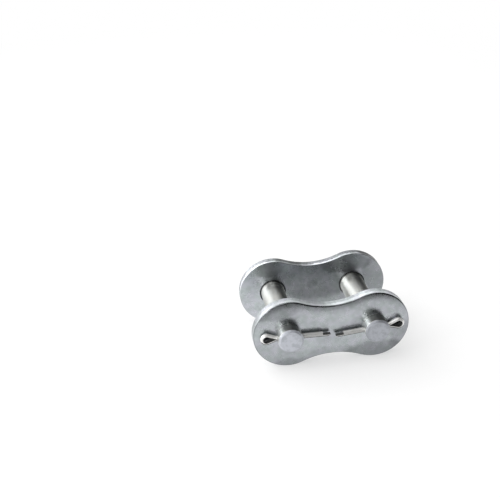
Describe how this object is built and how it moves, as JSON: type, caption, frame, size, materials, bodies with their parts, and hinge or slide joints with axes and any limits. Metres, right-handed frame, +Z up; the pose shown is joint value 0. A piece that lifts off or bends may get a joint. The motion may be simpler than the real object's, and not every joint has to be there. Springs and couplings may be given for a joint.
{
  "type": "roller chain connecting link",
  "caption": "Cottered connecting link for a roller chain: two figure-eight plates held apart by round pins, with a split cotter pin through each pin end.",
  "frame": {"origin": "middle of the link: halfway between the two pins on the plane of their axes, and halfway between the two plates", "axes": "+X from the left pin to the right pin, +Y from the cover plate to the back plate, +Z up"},
  "size_m": [0.0694, 0.0537, 0.0312],
  "materials": {
    "plate_steel": "blanked and tumbled to a satin grey",
    "pin_steel": "ground, with tumbled ends",
    "cotter_steel": "bright drawn wire"
  },
  "bodies": {
    "link": {"back_plate": "plate_steel", "cover_plate": "plate_steel", "left_pin": "pin_steel", "right_pin": "pin_steel"},
    "left_cotter": {"left_cotter_pin": "cotter_steel"},
    "right_cotter": {"right_cotter_pin": "cotter_steel"}
  },
  "joints": [
    {"name": "left_cotter_pull", "type": "slide", "parent": "link", "child": "left_cotter", "axis": [-0.9998, 0, 0.0209], "range_m": [0, 0.0245]},
    {"name": "right_cotter_pull", "type": "slide", "parent": "link", "child": "right_cotter", "axis": [0.9963, 0, 0.0854], "range_m": [0, 0.0245]}
  ]
}
